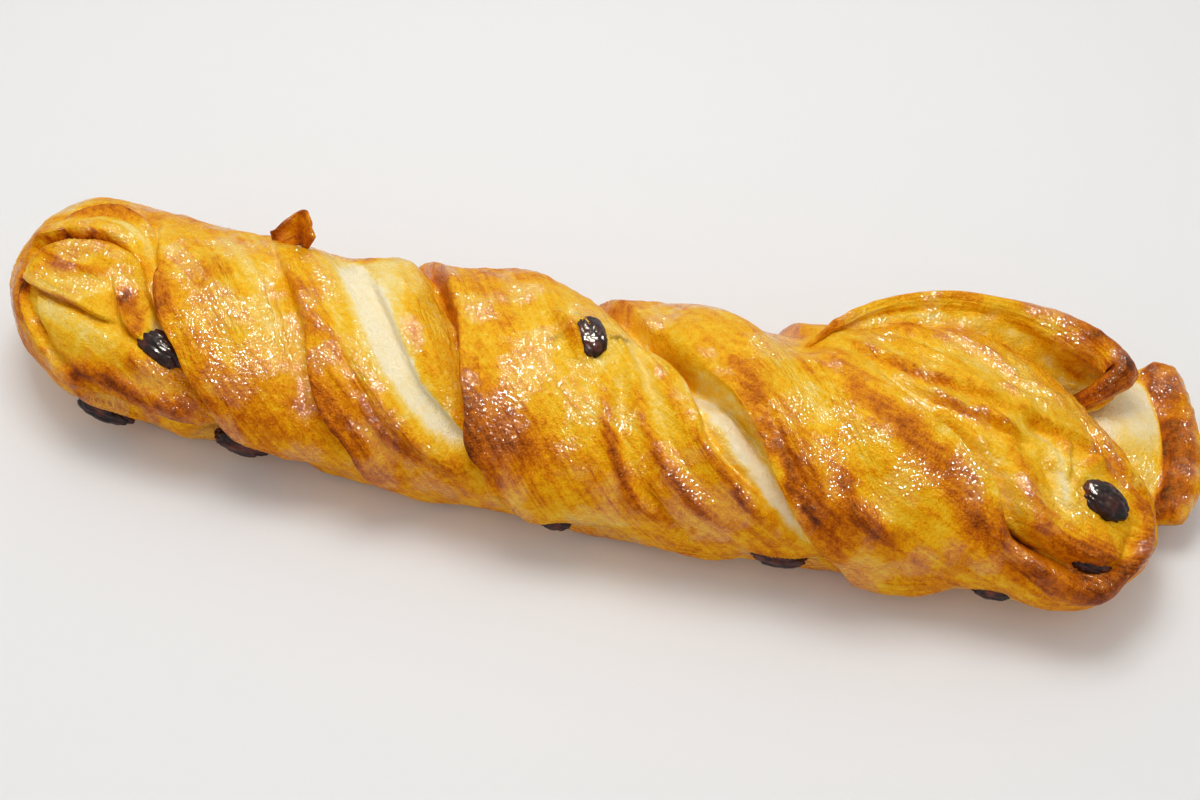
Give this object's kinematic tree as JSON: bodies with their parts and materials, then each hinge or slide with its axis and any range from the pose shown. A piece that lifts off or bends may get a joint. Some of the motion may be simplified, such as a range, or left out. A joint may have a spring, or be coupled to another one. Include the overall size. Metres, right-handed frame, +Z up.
{
  "type": "danish twist",
  "caption": "Twisted strip of golden laminated dough with raisins in its folds, a rolled end and an open fanned end with a cupped ear and a flap; rests flat.",
  "frame": {"origin": "on the flat sole, under the middle of the twist", "axes": "+X along the twist towards its open, fanned end; +Y towards its back, where the ear and the flap are; +Z up"},
  "size_m": [0.2727, 0.0769, 0.0433],
  "materials": {
    "crust": "baked laminated dough with a glossy, finely blistered egg wash, cream in the open folds and brown on the edges",
    "raisin": "wrinkled black-brown raisin skin, glossy on its ridges"
  },
  "bodies": {
    "root": {"dough": "crust", "raisin_left_top": "raisin", "raisin_left_low": "raisin", "raisin_left_under": "raisin", "raisin_second_lap": "raisin", "raisin_centre": "raisin", "raisin_middle_low": "raisin", "raisin_fold_low": "raisin", "raisin_band": "raisin", "raisin_loop": "raisin", "raisin_loop_low": "raisin", "raisin_right_under": "raisin"}
  },
  "joints": []
}
